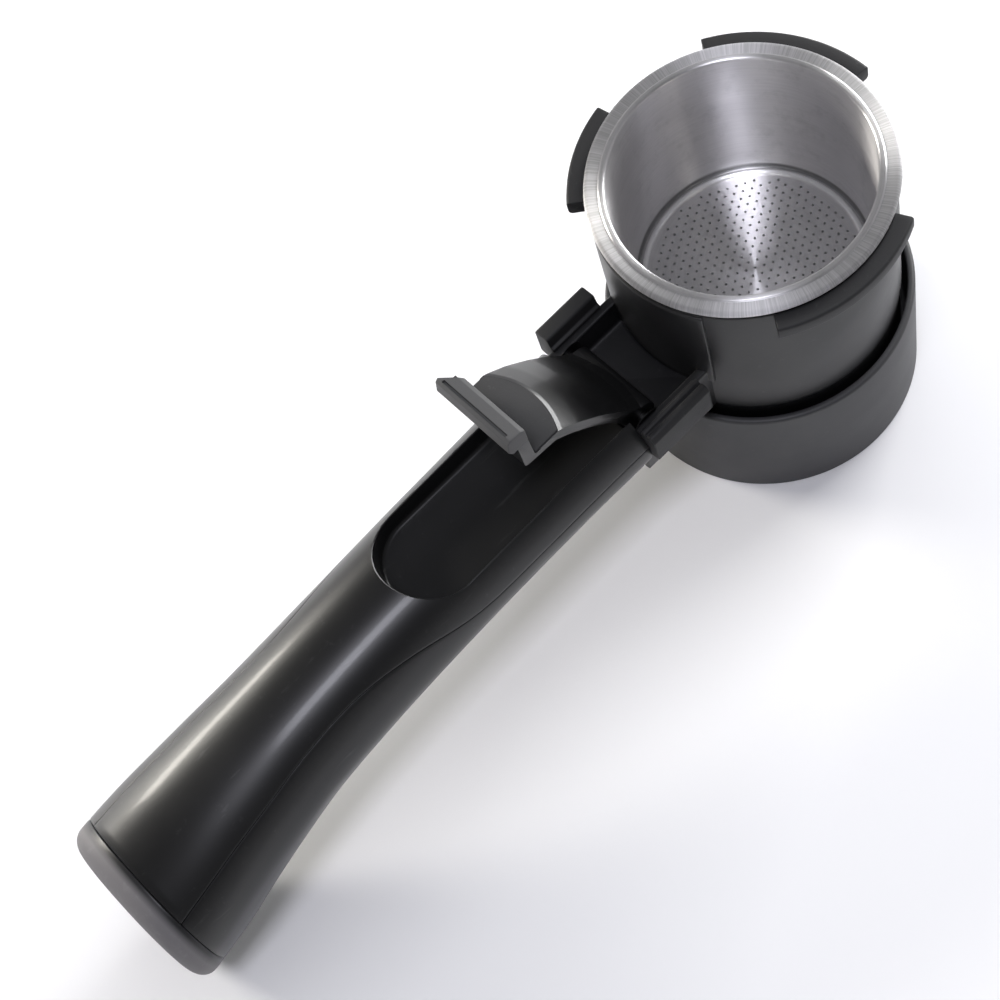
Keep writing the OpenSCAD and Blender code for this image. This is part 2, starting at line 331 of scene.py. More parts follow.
def addNode(tree, kind, links=None, **settings):
    node = tree.nodes.new(kind)
    for key, value in settings.items():
        setattr(node, key, value)
    for socket, source in (links or {}).items():
        if isinstance(source, bpy.types.NodeSocket):
            tree.links.new(source, node.inputs[socket])
        else:
            node.inputs[socket].default_value = source
    return node


def objectPlace(tree, scale=(1, 1, 1)):
    coordinates = addNode(tree, "ShaderNodeTexCoord")
    mapping = addNode(tree, "ShaderNodeMapping", {"Vector": coordinates.outputs["Object"], "Scale": scale})
    return mapping.outputs["Vector"]


def noise(tree, place, scale, detail=4.0, rough=0.55):
    made = addNode(tree, "ShaderNodeTexNoise",
                   {"Vector": place, "Scale": scale, "Detail": detail, "Roughness": rough})
    return made.outputs["Fac"]


def spread(tree, value, low, high, outLow=0.0, outHigh=1.0):
    made = addNode(tree, "ShaderNodeMapRange", {"Value": value, "From Min": low, "From Max": high,
                                                "To Min": outLow, "To Max": outHigh})
    return made.outputs["Result"]


def blendColour(tree, share, first, second):
    made = addNode(tree, "ShaderNodeMix", {"Factor": share}, data_type='RGBA')
    for socket, source in (("A", first), ("B", second)):
        entry = [i for i in made.inputs if i.name == socket and i.type == 'RGBA'][0]
        if isinstance(source, bpy.types.NodeSocket):
            tree.links.new(source, entry)
        else:
            entry.default_value = (*source, 1)
    return [o for o in made.outputs if o.type == 'RGBA'][0]


def sink(tree, shader, height, strength, depth):
    bump = addNode(tree, "ShaderNodeBump", {"Height": height, "Strength": strength, "Distance": depth * mm})
    tree.links.new(bump.outputs["Normal"], shader.inputs["Normal"])


def combine(tree, operation, first, second):
    made = addNode(tree, "ShaderNodeMath", {0: first, 1: second}, operation=operation)
    return made.outputs["Value"]


def times(tree, first, second):
    return combine(tree, 'MULTIPLY', first, second)


def roundGrain(tree, across, along):
    # grain that runs straight out from the cup's axis on flat faces and straight up on walls
    coordinates = addNode(tree, "ShaderNodeTexCoord")
    split = addNode(tree, "ShaderNodeSeparateXYZ", {"Vector": coordinates.outputs["Object"]})
    turn = combine(tree, 'ARCTAN2', split.outputs["Y"], split.outputs["X"])
    out = addNode(tree, "ShaderNodeVectorMath", {0: coordinates.outputs["Object"], 1: (1, 1, 0)},
                  operation='MULTIPLY')
    length = addNode(tree, "ShaderNodeVectorMath", {0: out.outputs["Vector"]}, operation='LENGTH')
    joined = addNode(tree, "ShaderNodeCombineXYZ", {
        "X": times(tree, turn, across),
        "Y": times(tree, split.outputs["Z"], along),
        "Z": times(tree, length.outputs["Value"], along)})
    return joined.outputs["Vector"], length.outputs["Value"], split.outputs["Z"]


def basketSteelFinish():
    # spun steel: hair lines run round the walls and the floor, and straight out across the rim;
    # a highlight is painted along the bead round the floor, and shade is painted in the crease above it. Places
    # are in metres
    look = {"colour": (0.70, 0.69, 0.70), "dark": (0.50, 0.50, 0.50), "roughness": (0.29, 0.35), "stretch": 0.95,
            "rimFrom": 0.0735, "rimOutside": 0.0277, "rimRoughness": 0.6, "metal": 0.84,
            "outGrain": (130, 60), "spunGrain": (2, 2600), "smudgeScale": 190,
            # the bead's place for its painted highlight
            "beadHeight": (0.0384, 0.0387), "beadInside": (0.0218, 0.0223), "beadOutside": (0.0241, 0.0238),
            # the near-white colour on the next line is a painted highlight for the bead
            "creaseTop": (0.0397, 0.0390), "creaseFrom": (0.0240, 0.0243), "paintedBeadHighlight": (0.98, 0.98, 0.98),
            # the dark colour on the next line is painted shade for the crease above the bead
            "paintedCreaseShade": (0.26, 0.26, 0.26)}
    material, tree, shader = startFinish("brushedBasketSteel", look["colour"], 0.3, look["metal"])
    shader.inputs["Anisotropic"].default_value = look["stretch"]
    shader.inputs["Anisotropic Rotation"].default_value = 0.25
    around = addNode(tree, "ShaderNodeTangent", direction_type='RADIAL', axis='Z')
    tree.links.new(around.outputs["Tangent"], shader.inputs["Tangent"])
    place, away, height = roundGrain(tree, *look["outGrain"])
    out = noise(tree, place, 1.0, 3.0, 0.6)
    spun, away, height = roundGrain(tree, *look["spunGrain"])
    hair = noise(tree, spun, 1.0, 2.0, 0.6)
    onRim = times(tree, spread(tree, height, look["rimFrom"], look["rimFrom"] + 0.0004),
                  spread(tree, away, look["rimOutside"], look["rimOutside"] + 0.0001))
    offRim = spread(tree, onRim, 0, 1, 1, 0)
    fine = combine(tree, 'ADD', times(tree, out, onRim), times(tree, hair, offRim))
    broad = noise(tree, objectPlace(tree), 70, 4.0)
    lines = times(tree, spread(tree, fine, 0.32, 0.68, 1, 0), spread(tree, onRim, 0, 1, 0.25, 1))
    smudges = spread(tree, noise(tree, objectPlace(tree), look["smudgeScale"], 6.0, 0.7), 0.52, 0.72, 0, 0.5)
    depth = combine(tree, 'ADD', lines, times(tree, smudges, offRim))
    # painted highlight: the bead round the floor is coloured near white for its bright reflection
    beadHighlightMask = times(tree, spread(tree, height, *look["beadHeight"]), spread(tree, away, *look["beadInside"]))
    beadHighlightMask = times(tree, beadHighlightMask, spread(tree, away, *look["beadOutside"]))
    # painted shade: the crease above the bead is darkened
    creaseShadeMask = times(tree, spread(tree, height, *look["creaseTop"]), spread(tree, away, *look["creaseFrom"]))
    tint = blendColour(tree, depth, look["colour"], look["dark"])
    tint = blendColour(tree, beadHighlightMask, tint, look["paintedBeadHighlight"])
    tree.links.new(blendColour(tree, creaseShadeMask, tint, look["paintedCreaseShade"]), shader.inputs["Base Color"])
    onWall = times(tree, spread(tree, broad, 0.3, 0.7, *look["roughness"]), offRim)
    rough = combine(tree, 'ADD', onWall, times(tree, onRim, look["rimRoughness"]))
    tree.links.new(rough, shader.inputs["Roughness"])
    sink(tree, shader, fine, 0.25, 0.02)
    return material


def mouldedFinish(name, colour, dusty, roughness, grain, depth, coat=0.0, scuff=0.0):
    # moulded plastic: fine surface texture, patchy gloss, a little dust and some scuffs
    material, tree, shader = startFinish(name, colour, roughness[0], 0.0, coat)
    shader.inputs["Coat Roughness"].default_value = 0.12
    fine = noise(tree, objectPlace(tree), grain, 3.0, 0.6)
    patches = noise(tree, objectPlace(tree, (1, 0.5, 1)), 45, 4.0)
    dust = spread(tree, noise(tree, objectPlace(tree), 520, 5.0, 0.7), 0.62, 0.8)
    tint = blendColour(tree, times(tree, dust, 0.35), colour, dusty)
    if scuff:
        scratches = noise(tree, objectPlace(tree, (60, 4, 60)), 9, 6.0, 0.6)
        marks = spread(tree, scratches, 0.63, 0.7)
        tint = blendColour(tree, times(tree, marks, scuff), tint, dusty)
    tree.links.new(tint, shader.inputs["Base Color"])
    tree.links.new(spread(tree, patches, 0.3, 0.7, *roughness), shader.inputs["Roughness"])
    sink(tree, shader, fine, 0.5, depth)
    return material


def capFinish():
    # dark round the edge like the shells, paler and matt on the end face
    look = {"face": (0.17, 0.163, 0.168), "edge": (0.014, 0.014, 0.015), "dusty": (0.24, 0.24, 0.24),
            "from": -0.1763, "to": -0.1779, "edgeRoughness": 0.36, "faceRoughness": 0.62}
    material, tree, shader = startFinish("capTwoTone", look["edge"], 0.5)
    split = addNode(tree, "ShaderNodeSeparateXYZ", {"Vector": objectPlace(tree)})
    onFace = spread(tree, split.outputs["Y"], look["from"], look["to"])
    dust = spread(tree, noise(tree, objectPlace(tree), 420, 5.0, 0.7), 0.55, 0.8)
    face = blendColour(tree, times(tree, dust, 0.5), look["face"], look["dusty"])
    tree.links.new(blendColour(tree, onFace, look["edge"], face), shader.inputs["Base Color"])
    rough = spread(tree, onFace, 0, 1, look["edgeRoughness"], look["faceRoughness"])
    tree.links.new(rough, shader.inputs["Roughness"])
    sink(tree, shader, noise(tree, objectPlace(tree), 1900, 3.0, 0.6), 0.4, 0.02)
    return material


def fastenerFinish(name, colour, roughness):
    material, tree, shader = startFinish(name, colour, roughness, 1.0)
    stains = noise(tree, objectPlace(tree), 400, 5.0)
    dark = tuple(0.55 * c for c in colour)
    tree.links.new(blendColour(tree, spread(tree, stains, 0.4, 0.75), colour, dark), shader.inputs["Base Color"])
    tree.links.new(spread(tree, stains, 0.3, 0.7, roughness * 0.8, roughness * 1.5), shader.inputs["Roughness"])
    sink(tree, shader, noise(tree, objectPlace(tree), 1800, 2.0), 0.25, 0.02)
    return material


basketSteel = basketSteelFinish()
bowlBlack = mouldedFinish("bowlSemiGloss", (0.007, 0.007, 0.008), (0.08, 0.08, 0.08), (0.34, 0.46), 2600, 0.01)
lugBlack = mouldedFinish("lugTextured", (0.010, 0.010, 0.011), (0.11, 0.11, 0.11), (0.52, 0.66), 1500, 0.05)
skirtBlack = mouldedFinish("skirtSatin", (0.036, 0.036, 0.039), (0.12, 0.12, 0.12), (0.48, 0.58), 2200, 0.02)
handleBlack = mouldedFinish("handleGloss", (0.006, 0.006, 0.0065), (0.07, 0.07, 0.07), (0.32, 0.42), 1200, 0.004,
                            coat=0.15, scuff=0.25)
leverBlack = mouldedFinish("leverGloss", (0.009, 0.009, 0.0095), (0.09, 0.09, 0.09), (0.30, 0.38), 1600, 0.008,
                           coat=0.2)
padGrey = mouldedFinish("padRubber", (0.034, 0.034, 0.035), (0.14, 0.14, 0.14), (0.72, 0.85), 1900, 0.05)
barGrey = mouldedFinish("barWorn", (0.070, 0.070, 0.071), (0.16, 0.16, 0.16), (0.55, 0.7), 1500, 0.05)
capGrey = capFinish()
sealRed = mouldedFinish("siliconeSeal", (0.22, 0.055, 0.04), (0.3, 0.16, 0.13), (0.5, 0.62), 900, 0.02)
zincSteel = fastenerFinish("zincFasteners", (0.58, 0.58, 0.57), 0.32)
sheetSteel = fastenerFinish("diffuserSheet", (0.62, 0.61, 0.59), 0.28)
blackSteel = fastenerFinish("blackenedSteel", (0.06, 0.06, 0.06), 0.4)
brassInsert = fastenerFinish("brassInserts", (0.70, 0.50, 0.20), 0.3)
print("finishes made")


# basket: a spun cup with a rolled rim and a perforated floor

basket = {"rimTop": 75.0, "rimRadius": 30.6, "mouth": 26.3, "floor": 38.0, "floorRadius": 24.6, "sheet": 0.8,
          "curlUnder": 72.25, "curlRadius": 29.2, "flangeUnder": 73.6, "straightTo": 60.8, "bead": (23.2, 1.15),
          "pitch": 1.95, "hole": 0.27, "field": 21.5, "rows": 20}


def makeBasket():
    b = basket
    inside = b["mouth"]
    outer = inside + b["sheet"]
    floor, top, curl = b["floor"], b["rimTop"], b["curlRadius"]
    outline = [
        (0, floor - 0.7, 0), (22.6, floor - 0.7, 0.5), (24.6, floor - 0.2, 1.0),
        (b["floorRadius"] + 0.8, floor + 2, 1.5), (outer, b["straightTo"], 6), (outer, b["curlUnder"] - 0.05, 0.4),
        (curl, b["curlUnder"], 0.4), (curl + 0.1, b["flangeUnder"] - 0.05, 0.2),
        (b["rimRadius"], b["flangeUnder"], 0.4), (b["rimRadius"], top, 0.9),
        (inside + 1.45, top - 0.30, 0.2), (inside + 1.15, top - 0.02, 0.25), (inside, top - 0.02, 0.5),
        (inside, b["straightTo"], 6), (b["floorRadius"], floor + 0.15, 0.5), (24.0, floor + 0.15, 0.3),
        (b["bead"][0], floor + b["bead"][1], 0.7), (22.3, floor + 0.3, 0.7), (0, floor + 0.3, 0)]
    cup = turned("basketCup", outline, 160)
    clearSelection()
    bpy.ops.mesh.primitive_cylinder_add(vertices=8, radius=b["hole"] * mm, depth=3 * mm,
                                        location=(0, 0, floor * mm))
    drill = named("drill")
    drills = []
    for i in range(-b["rows"], b["rows"] + 1):
        for j in range(-b["rows"], b["rows"] + 1):
            across = (i + j / 2) * b["pitch"]
            up = j * b["pitch"] * math.sqrt(3) / 2
            if math.hypot(across, up) < b["field"]:
                copy = drill.copy()
                copy.data = drill.data.copy()
                copy.data.transform(Matrix.Translation(Vector((across, up, 0)) * mm))
                bpy.context.scene.collection.objects.link(copy)
                drills.append(copy)
    bpy.data.objects.remove(drill)
    clearSelection()
    for copy in drills:
        copy.select_set(True)
    bpy.context.view_layer.objects.active = drills[0]
    bpy.ops.object.join()
    cut(cup, bpy.context.object)
    fit(cup, "basket", "basket_steel", basketSteel, "filter_basket")
    print("basket made,", len(drills), "holes")


# bowl: cup body, raised front, bayonet lugs and the neck that holds the lever

bowl = {"radius": 29.8, "inside": 27.6, "seat": 71.9, "ledge": 34.0, "well": 24.8, "under": 13.0, "floorTop": 16.0,
        "lugs": [(87, 147), (190, 229), (-35, 25)], "lugInside": 28.8, "lugRadius": 34.17, "lugTop": 73.3,
        "lugUnder": 69.5, "front": (241, 299), "frontInside": 28.4, "frontRadius": 30.4, "frontUnder": 45.0,
        "bossTop": 23.0, "centreBoss": 4.5, "centreBore": 2.0, "screwTurn": (30, 150, 270), "screwCircle": 21.0,
        "screwBoss": 3.2, "screwBore": 1.5, "outletsX": (-9, 9), "outletRadius": 2.6}
# railStart and railTops are for the left rail, then the right
neck = {"end": -46.0, "start": -24, "halfWidth": 13.6, "channel": 11.4, "bottom": 33.0, "floor": 42.0,
        "wallTop": 49.0, "pivot": (-42.0, 46.5), "boreRadius": 1.55, "boreReach": (-20, 15.5),
        "railStart": (-44.2, -46.0), "railEnd": -30.6, "railInside": 12.9, "railOutside": 18.0, "railUnder": 44.0,
        "railTops": ([(-18.0, 52.4, 0.9), (-14.2, 52.7, 0.7)],
                     [(18.0, 51.6, 0.5), (17.0, 52.7, 0.7), (15.9, 52.5, 0.4), (15.6, 51.7, 0.2),
                      (15.1, 52.4, 0.3), (14.3, 52.4, 0.3)]),
        "tongueHalf": 6, "tongueHeights": (37, 42), "tongueEnds": (-90, -44), "inserts": (-58, -80),
        "insertBore": 2.5, "insertTop": 41.7}


def onCircle(radius, degrees, height):
    return Vector((radius * math.cos(math.radians(degrees)), radius * math.sin(math.radians(degrees)), height))


def makeBowl():
    b = bowl
    body = turned("bowl", [
        (0, b["under"], 0), (b["radius"] - 0.4, b["under"], 1.4), (b["radius"] - 0.4, b["ledge"] - 1, 0.8),
        (b["radius"], b["ledge"], 0.8), (b["radius"], b["seat"], 0.6), (b["inside"], b["seat"], 0.3),
        (b["inside"], b["ledge"], 0.3), (b["well"], b["ledge"], 0.3), (b["well"], b["floorTop"], 1.2),
        (0, b["floorTop"], 0)], 144)
    base = b["floorTop"] - 1
    weld(body, rod("centreBoss", b["centreBoss"], (0, 0, base), (0, 0, b["bossTop"]), 40, chamfer=0.3))
    drills = [rod("outlet", b["outletRadius"], (x, 0, 5), (x, 0, 20), 40) for x in b["outletsX"]]
    drills.append(rod("centreBore", b["centreBore"], (0, 0, 5), (0, 0, 21.5), 24))
    for turn in b["screwTurn"]:
        heights = (base, b["bossTop"], 5, 21.5)
        foot, top, low, high = (onCircle(b["screwCircle"], turn, height) for height in heights)
        weld(body, rod("screwBoss", b["screwBoss"], foot, top, 32, chamfer=0.3))
        drills.append(rod("screwBore", b["screwBore"], low, high, 24))
    cut(body, *drills)
    fit(body, "holder", "holder_black", bowlBlack, "filter_holder")


def makeRaisedFront():
    b = bowl
    start, end = b["front"]
    inside, outside, top = b["frontInside"], b["frontRadius"], b["seat"] - 0.6
    front = turnedPart("raisedFront", [
        (inside, b["frontUnder"], 0), (outside, b["frontUnder"], 0.2), (outside, top, 0.5), (inside, top, 0)],
        start, end, 30)
    roundEdges(front, 0.25, 60, 3)
    fit(front, "holder", "holder_black", bowlBlack)


def makeLugs():
    b = bowl
    for number, (start, end) in enumerate(b["lugs"]):
        lug = turnedPart("lug" + str(number + 1), [
            (b["lugInside"], b["lugUnder"], 0), (b["lugRadius"], b["lugUnder"], 0.9),
            (b["lugRadius"], b["lugTop"], 0.7), (b["frontRadius"], b["lugTop"], 0.4),
            (b["frontRadius"], b["seat"] - 0.2, 0.2), (b["lugInside"], b["seat"] - 0.2, 0)],
            start, end, max(12, round((end - start) / 2)))
        roundEdges(lug, 0.45, 60, 3)
        fit(lug, "holder", "holder_black", lugBlack)


def boreFor(pin, sides, left, right):
    pivotY, pivotZ = pin["pivot"]
    return rod("pinBore", pin["boreRadius"], (left, pivotY, pivotZ), (right, pivotY, pivotZ), sides, 'X')


def makeNeck():
    n = neck
    half, channel = n["halfWidth"], n["channel"]
    body = barAlong("neckChannel", [
        (-half, n["bottom"], 1.2), (half, n["bottom"], 1.2), (half, n["wallTop"], 0.5),
        (channel, n["wallTop"], 0.5), (channel, n["floor"], 0.8), (-channel, n["floor"], 0.8),
        (-channel, n["wallTop"], 0.5), (-half, n["wallTop"], 0.5)], 'Y', n["end"], n["start"])
    cut(body, rod("bowlSide", 28.7, (0, 0, 20), (0, 0, 60), 144))
    cut(body, boreFor(n, 32, *n["boreReach"]))
    fit(body, "holder", "holder_black", bowlBlack)
    for side, name, start, top in zip((-1, 1), ("railLeft", "railRight"), n["railStart"], n["railTops"]):
        inside, outside = side * n["railInside"], side * n["railOutside"]
        rail = barAlong(name, [
            (inside, n["railUnder"], 0.3), (outside, n["railUnder"], 0.7), *top,
            (side * 13.7, 50.2, 0.4), (inside, 49.9, 0.3)], 'Y', start, n["railEnd"], 6)
        roundEdges(rail, 0.45, 60, 3)
        cut(rail, boreFor(n, 32, *n["boreReach"]))
        fit(rail, "holder", "holder_black", lugBlack)
    low, high = n["tongueHeights"]
    wide = n["tongueHalf"]
    tongue = barAlong("neckTongue", [(-wide, low, 0.6), (wide, low, 0.6), (wide, high, 0.6), (-wide, high, 0.6)],
                      'Y', *n["tongueEnds"])
    for y in n["inserts"]:
        cut(tongue, rod("insertBore", n["insertBore"], (0, y, 30), (0, y, n["insertTop"]), 32))
    fit(tongue, "holder", "holder_black", bowlBlack)


makeBasket()
makeBowl()
makeRaisedFront()
makeLugs()
makeNeck()
print("bowl, lugs and neck made")


# skirt: open sleeve round the outlets, with a shelf that is screwed to the bowl

skirt = {"radius": 32.6, "inside": 31.0, "height": 31.5, "shelf": (10.5, 13.0), "shelfHole": 16.0,
         "screwHole": 1.6, "ribs": range(30, 390, 60), "ribFrom": 29.2, "ribTo": 31.4, "ribHeights": (4, 11),
         "ribHalf": 0.6}


def makeSkirt():
    k = skirt
    low, high = k["shelf"]
    inside, outside, top, hole = k["inside"], k["radius"], k["height"], k["shelfHole"]
    sleeve = turned("skirtSleeve", [
        (inside, 0, 0.5), (outside, 0, 0.5), (outside, top, 0.8), (inside, top, 0.4),
        (inside, high, 0.6), (hole, high, 0.3), (hole, low, 0.3), (inside, low, 0.8)], 144)
    for turn in bowl["screwTurn"]:
        ends = [onCircle(bowl["screwCircle"], turn, height) for height in (5, 16)]
        cut(sleeve, rod("screwHole", k["screwHole"], *ends, 24))
    bottom, ribTop = k["ribHeights"]
    for turn in k["ribs"]:
        rib = barAlong("rib", [(k["ribFrom"], bottom, 0.4), (k["ribTo"], bottom, 0), (k["ribTo"], ribTop, 0),
                               (k["ribFrom"], ribTop, 0)], 'Y', -k["ribHalf"], k["ribHalf"])
        rib.data.transform(Matrix.Rotation(math.radians(turn), 4, 'Z'))
        weld(sleeve, rib)
    fit(sleeve, "holder", "skirt_black", skirtBlack, "skirt")


makeSkirt()
print("skirt made")


# thumb lever: hub on the pin, dished plate, pad shelf and thumb bar

lever = {
    "halfWidth": 9.7, "hubRadius": 3.6, "hubHalf": 9.65, "pivot": (-42.0, 46.5), "boreRadius": 1.55,
    "turnCentre": (1.0, -75.4), "plateArc": (50, 130),
    # plate: distance from the turn centre, height, corner radius; under side first, then back over the top
    "plate": [(12.5, 68.4, 0.3), (16.4, 67.8, 1), (20.0, 64.6, 8), (23.8, 60.4, 12), (27.0, 56.4, 12),
              (29.4, 52.0, 8), (31.0, 44.6, 0.6), (36.2, 45.0, 0.6), (36.9, 47.6, 1.0), (35.0, 49.9, 2.2),
              (32.6, 52.6, 5), (29.7, 56.8, 14), (25.8, 61.7, 16), (21.5, 66.4, 16), (18.1, 69.45, 0.4),
              (17.3, 70.0, 0.15), (12.5, 70.0, 0.3)],
    # these are seen from the side: y, height, corner radius
    "shelf": [(-62.4, 69.8, 0), (-66.6, 69.8, 0.5), (-66.8, 78.0, 0.3), (-69.4, 78.0, 0.3), (-69.4, 68.6, 1.0),
              (-64.0, 68.1, 1), (-62.4, 68.1, 0)],
    "heel": [(-45.25, 48.7, 0), (-53.2, 54.95, 0), (-56, 52, 0), (-50, 43.5, 0), (-48.4, 44.4, 0)],
    "bar": [(-66.75, 77.3, 0.3), (-66.7, 81.0, 0.5), (-67.6, 81.6, 0.6), (-70.3, 81.95, 0.4), (-71.0, 81.2, 0.5),
            (-71.5, 78.4, 0.8), (-70.8, 76.9, 0.5)],
    "barGroove": [(-70.3, 81.15, 0.15), (-70.3, 83, 0), (-69.65, 83, 0), (-69.65, 81.15, 0.15)],
    "barHalf": 10.0, "grooveMargin": 1.4, "wornCorner": [(-10.6, -71, 0), (-10.6, -65, 0), (-4.6, -65, 0)],
    "padRadius": 17.2, "padBack": -66.35, "padHeights": (69.7, 70.33), "padMargin": 0.25}


def makeLever():
    v = lever
    pivotY, pivotZ = v["pivot"]
    half, barHalf = v["halfWidth"], v["barHalf"]
    # the plate curves down from the pad's round edge to the hub
    plate = turnedPart("thumbLever", v["plate"], *v["plateArc"], 40, 5)
    plate.data.transform(Matrix.Translation(Vector((*v["turnCentre"], 0)) * mm))
    keep = barAlong("sides", [(-half, -70, 0), (half, -70, 0), (half, -30, 0), (-half, -30, 0)], 'Z', 40, 80)
    addModifier(plate, 'BOOLEAN', operation='INTERSECT', object=keep, solver='EXACT')
    bpy.data.objects.remove(keep)
    weld(plate, barAlong("shelf", v["shelf"], 'X', -half, half, 5))
    hubEnds = [(side * v["hubHalf"], pivotY, pivotZ) for side in (-1, 1)]
    weld(plate, rod("hub", v["hubRadius"], *hubEnds, 64, 'X', 0.4))
    # the heel is cut back so that the folded lever clears the cover's front edge
    cut(plate, barAlong("heel", v["heel"], 'X', -12, 12))
    cut(plate, boreFor(v, 40, -20, 20))
    roundEdges(plate, 0.35, 50, 3)
    bar = barAlong("thumbBar", v["bar"], 'X', -barHalf, barHalf, 4)
    roundEdges(bar, 0.7, 60, 4)
    cut(bar, barAlong("corner", v["wornCorner"], 'Z', 70, 84))
    cut(bar, barAlong("groove", v["barGroove"], 'X', v["grooveMargin"] - barHalf, barHalf - v["grooveMargin"]))
    fit(bar, "lever", "lever_black", barGrey)
    fit(plate, "lever", "lever_black", leverBlack, "retainer_lever")


def makePad():
    # its front edge is an arc, just inside the plate's round edge
    v = lever
    middle, centre = v["turnCentre"]
    half = v["halfWidth"] - v["padMargin"]
    outline = [(-half, v["padBack"], 0), (half, v["padBack"], 0)]
    for step in range(25):
        x = half * (1 - step / 12)
        outline.append((x, centre + math.sqrt(v["padRadius"] ** 2 - (x - middle) ** 2), 0))
    pad = barAlong("thumbPad", outline, 'Z', *v["padHeights"])
    roundEdges(pad, 0.18, 60, 2)
    fit(pad, "lever", "pad_rubber", padGrey, "lever_pad")


makeLever()
makePad()
print("lever made")


# handle: lower shell, cover with the thumb recess, butt cap

handle = {
    # distance behind the cup's axis, half width, top, widest line, bottom, angle of the parting line above it
    "sections": [(46, 15.9, 55.4, 44.6, 33, 12), (60, 15.6, 55.6, 43.9, 32.8, 12),
                 (76, 15.4, 55.6, 43, 31.8, 12), (92, 15.3, 55.4, 41.9, 30, 16),
                 (108, 15.3, 54.4, 40.4, 27.6, 36), (122, 15.5, 53, 38.9, 24.6, 47),
                 (136, 15.9, 51.2, 37.2, 19.8, 47.5), (148, 16.9, 49.2, 35, 13.4, 46),
                 (158, 17.8, 47.2, 32.9, 7, 45.5), (166, 18.7, 45.2, 30.8, 2.2, 45.5),
                 (175.5, 19.5, 42.4, 27.9, 0, 45.5), (178, 19.7, 41.6, 27, 0, 45.5),
                 (181.6, 19.8, 40.4, 25.8, 0, 45.5)],
    "start": 46.0, "seam": 175.5, "end": 181.58, "wall": 2.4, "gap": 0.05, "capRound": 3.2,
    # powers of the section's curve above and below, and the length over which the keel grows
    "topPower": 0.92, "keelPower": 0.17, "keelLength": 110,
    "recessHalf": 11.0, "recessFront": 40, "recessEnd": 102.0, "recessFloor": 46.0, "recessRim": 0.42,
    "basinWall": 1.8, "coverScrews": [(122, 29), (150, 20)], "tangScrews": [(58, 34.3), (80, 34.3)],
    "counterbore": 3.0, "screwWell": 4.4}


def sectionAt(distance):
    # half width, top, widest line, bottom and parting angle, on smooth curves through the sections
    rows = handle["sections"]
    index = max(0, min(len(rows) - 2, sum(row[0] <= distance for row in rows) - 1))
    before, here, there, after = (rows[min(max(index + step, 0), len(rows) - 1)] for step in (-1, 0, 1, 2))
    span = there[0] - here[0]
    t = (distance - here[0]) / span
    values = []
    for column in range(1, 6):
        slopeHere = (there[column] - before[column]) / (there[0] - before[0])
        slopeThere = (after[column] - here[column]) / (after[0] - here[0])
        values.append((2 * t ** 3 - 3 * t ** 2 + 1) * here[column] + (t ** 3 - 2 * t ** 2 + t) * span * slopeHere
                      + (3 * t ** 2 - 2 * t ** 3) * there[column] + (t ** 3 - t ** 2) * span * slopeThere)
    return values


def handlePoint(distance, degrees, inset=0.0):
    # a point of the handle's skin; the underside narrows toward a keel
    h = handle
    halfWidth, top, widest, bottom = sectionAt(distance)[:4]
    c, n = math.cos(math.radians(degrees)), math.sin(math.radians(degrees))
    keel = 1 + h["keelPower"] * min(1, (distance - h["start"]) / h["keelLength"])
    across = (halfWidth - inset) * math.copysign(abs(c) ** (h["topPower"] if n > 0 else keel), c)
    if n > 0:
        return Vector((across, -distance, widest + (top - widest - inset) * n))
    return Vector((across, -distance, max(inset, widest - (widest - bottom - inset) * (-n) ** keel)))


def faceOutwards(sheet, axisHeight):
    # turns an open patch so that its faces look away from the handle's middle line
    middle = sheet.data.polygons[len(sheet.data.polygons) // 2]
    if middle.normal.dot(middle.center - Vector((0, middle.center.y, axisHeight * mm))) < 0:
        edit(sheet, 'SELECT')
        bpy.ops.mesh.flip_normals()
        bpy.ops.object.mode_set(mode='OBJECT')


def makeShell(name, fromSide, toSide, around):
    # a patch of the skin between two parting lines, thickened inwards; each side is an angle and how many
    # times the parting angle is added to it
    h = handle
    meanRadius = 16

    def place(u, v):
        distance = h["start"] + (h["seam"] - h["gap"] - h["start"]) * v
        parting = sectionAt(distance)[4]
        gap = math.degrees(h["gap"] / meanRadius)
        low = fromSide[0] + fromSide[1] * parting + gap
        high = toSide[0] + toSide[1] * parting - gap
        return handlePoint(distance, low + (high - low) * u)

    shell = shapedGrid(name, around, 64, place, close=False)
    faceOutwards(shell, 38)
    addModifier(shell, 'SOLIDIFY', thickness=h["wall"] * mm, offset=-1)
    roundEdges(shell, 0.15, 60, 2)
    return shell


def stadiumPoint(turn, offset):
    # the thumb recess's outline, from its open front end round the far end and back, for turn 0 to 1
    h = handle
    half = h["recessHalf"] + offset
    middle = h["recessEnd"] - h["recessHalf"]
    straight = middle - h["recessFront"]
    arc = math.pi * half
    travel = turn * (2 * straight + arc)
    if travel < straight:
        return Vector((half, -h["recessFront"] - travel))
    if travel > straight + arc:
        return Vector((-half, -middle + (travel - straight - arc)))
    angle = (travel - straight) / half
    return Vector((half * math.cos(angle), -middle - half * math.sin(angle)))


def skinHeight(x, y):
    # height of the handle's top at a place
    halfWidth, top, widest = sectionAt(max(handle["start"], -y))[:3]
    c = min(0.999, abs(x) / halfWidth) ** (1 / handle["topPower"])
    return widest + (top - widest) * math.sqrt(1 - c * c)


def stadiumTool(name, levels, sides=112):
    # levels, from the bottom: (offset from the outline, height), or (offset, height above the skin, True)
    def place(u, v):
        level = levels[round(v * (len(levels) - 1))]
        turn = u * sides / (sides - 1)
        spot = stadiumPoint(turn if turn <= 1.0001 else 0, level[0])
        height = skinHeight(spot.x, spot.y) + level[1] if len(level) > 2 else level[1]
        return Vector((spot.x, spot.y, height))

    return shapedGrid(name, sides, len(levels) - 1, place)


